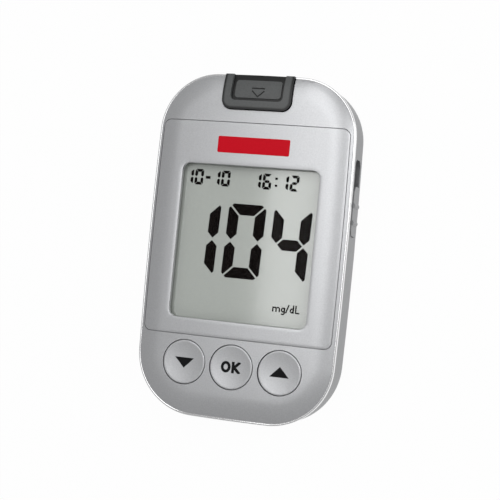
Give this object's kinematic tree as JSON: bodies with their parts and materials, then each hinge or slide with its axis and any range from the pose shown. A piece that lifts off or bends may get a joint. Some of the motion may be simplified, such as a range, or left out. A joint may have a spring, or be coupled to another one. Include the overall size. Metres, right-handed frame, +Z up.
{
  "type": "blood glucose meter",
  "caption": "Pocket blood glucose meter with a segment display, round push buttons, a test strip port, a side slider that ejects the strip and a sliding battery cover.",
  "frame": {"origin": "middle of the footprint, on the surface that the meter's back lies on", "axes": "+X towards the side with the ejector slider, +Y towards the strip port, +Z up through the display"},
  "size_m": [0.0584, 0.0969, 0.0209],
  "materials": {
    "silver_face": "satin silver paint with a fine metallic flake",
    "silver_back": "matt silver-grey",
    "dark_plastic": "matt dark grey",
    "black_plastic": "matt black",
    "clear_window": "clear, polished",
    "display_glass": "clear, flat",
    "segment_black": "flat black",
    "reflector_grey": "flat grey-green",
    "red_label": "smooth red print",
    "pale_label": "matt pale grey film",
    "legend_black": "flat near-black print",
    "black_rubber": "matt foam",
    "grey_rubber": "matt silicone",
    "board_green": "satin solder mask",
    "steel": "bright nickel plate",
    "gilt_contact": "gold plate",
    "cell_can": "nickel-plated steel can",
    "cell_sleeve": "plain dark film"
  },
  "bodies": {
    "case": {"front_shell": "silver_face", "rear_shell": "silver_back", "face_panel": "silver_face", "display_window": "clear_window", "front_label": "red_label", "strip_port_guide": "dark_plastic", "lcd_gasket": "black_rubber", "lcd_front_glass": "display_glass", "lcd_segments": "segment_black", "lcd_rear_glass": "display_glass", "lcd_reflector": "reflector_grey", "lcd_holder": "black_plastic", "zebra_connector": "grey_rubber", "main_board": "board_green", "microcontroller": "black_plastic", "board_components": "black_plastic", "buzzer": "black_plastic", "board_screws": "steel", "housing_screws": "steel", "strip_connector": "black_plastic", "strip_contacts": "gilt_contact", "keypad_sheet": "grey_rubber", "switch_pads": "gilt_contact", "ejector_spring": "steel", "battery_cell_upper": "cell_can", "battery_cell_lower": "cell_can", "battery_sleeve_upper": "cell_sleeve", "battery_sleeve_lower": "cell_sleeve", "battery_positive_contact": "steel", "battery_negative_contact": "steel", "battery_bridge_contact": "steel", "battery_springs": "steel", "rating_label": "pale_label", "key_dome_down": "grey_rubber", "key_dome_ok": "grey_rubber", "key_dome_up": "grey_rubber"},
    "down_key": {"button_down": "silver_face", "legend_down": "legend_black"},
    "ok_key": {"button_ok": "silver_face", "legend_ok": "legend_black"},
    "up_key": {"button_up": "silver_face", "legend_up": "legend_black"},
    "ejector": {"ejector_slider": "silver_back", "ejector_carriage": "dark_plastic"},
    "cover": {"battery_cover": "silver_back"}
  },
  "joints": [
    {"name": "down_press", "type": "slide", "parent": "case", "child": "down_key", "axis": [0, 0, -1], "range_m": [0, 0.0006], "stiffness_N_per_m": 1500, "springref_m": -0.0002, "deforming": ["key_dome_down"]},
    {"name": "ok_press", "type": "slide", "parent": "case", "child": "ok_key", "axis": [0, 0, -1], "range_m": [0, 0.0006], "stiffness_N_per_m": 1500, "springref_m": -0.0002, "deforming": ["key_dome_ok"]},
    {"name": "up_press", "type": "slide", "parent": "case", "child": "up_key", "axis": [0, 0, -1], "range_m": [0, 0.0006], "stiffness_N_per_m": 1500, "springref_m": -0.0002, "deforming": ["key_dome_up"]},
    {"name": "ejector_slide", "type": "slide", "parent": "case", "child": "ejector", "axis": [0, 1, 0], "range_m": [0, 0.007], "stiffness_N_per_m": 200, "springref_m": -0.002, "deforming": ["ejector_spring"]},
    {"name": "cover_slide", "type": "slide", "parent": "case", "child": "cover", "axis": [0, -1, 0], "range_m": [0, 0.05]}
  ]
}
